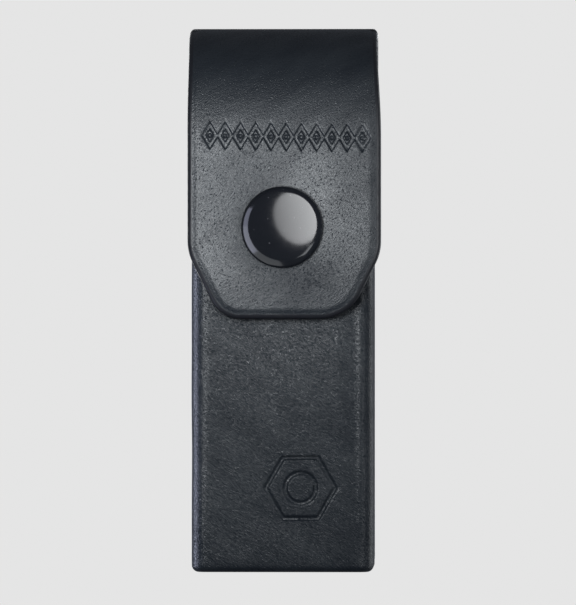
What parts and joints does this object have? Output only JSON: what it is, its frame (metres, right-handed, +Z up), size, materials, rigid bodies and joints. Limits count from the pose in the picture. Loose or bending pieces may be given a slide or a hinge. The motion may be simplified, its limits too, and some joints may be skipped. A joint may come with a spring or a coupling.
{
  "type": "belt sheath for a folding multi tool",
  "caption": "Upright moulded leather belt pouch for a folding multi tool, with a snap-closed flap and a sewn belt loop on its back.",
  "frame": {"origin": "middle of the footprint, on the surface that the sheath stands on", "axes": "+Z up the sheath from floor to top, -Y towards the front with the flap and snap, +X to the right seen from the front"},
  "size_m": [0.0398, 0.0382, 0.112],
  "materials": {
    "leather": "semi-gloss grained",
    "thread": "waxed bonded thread",
    "cap_enamel": "gloss enamel",
    "snap_nickel": "nickel plate",
    "snap_brass": "satin",
    "spring_steel": "drawn wire"
  },
  "bodies": {
    "pouch": {"pouch_shell": "leather", "back_panel": "leather", "belt_loop": "leather", "snap_stud": "snap_nickel", "snap_stud_eyelet": "snap_brass", "left_seam_outer_thread": "thread", "left_seam_inner_thread": "thread", "right_seam_outer_thread": "thread", "right_seam_inner_thread": "thread", "floor_seam_outer_thread": "thread", "floor_seam_inner_thread": "thread", "loop_lower_outer_thread": "thread", "loop_lower_inner_thread": "thread", "loop_upper_outer_thread": "thread", "loop_upper_inner_thread": "thread"},
    "top_strap": {"top_strap": "leather"},
    "flap": {"flap": "leather", "snap_cap": "cap_enamel", "snap_cap_post": "snap_brass", "snap_socket": "snap_nickel", "snap_spring_right": "spring_steel", "snap_spring_left": "spring_steel"}
  },
  "joints": [
    {"name": "back_fold", "type": "hinge", "parent": "pouch", "child": "top_strap", "pos_m": [0, 0.01009, 0.11024], "axis": [-1, 0, 0], "range_deg": [0, 120], "stiffness_Nm_per_rad": 0.02},
    {"name": "front_fold", "type": "hinge", "parent": "top_strap", "child": "flap", "pos_m": [0, -0.01146, 0.10731], "axis": [-1, 0, 0], "range_deg": [0, 60], "stiffness_Nm_per_rad": 0.02}
  ]
}
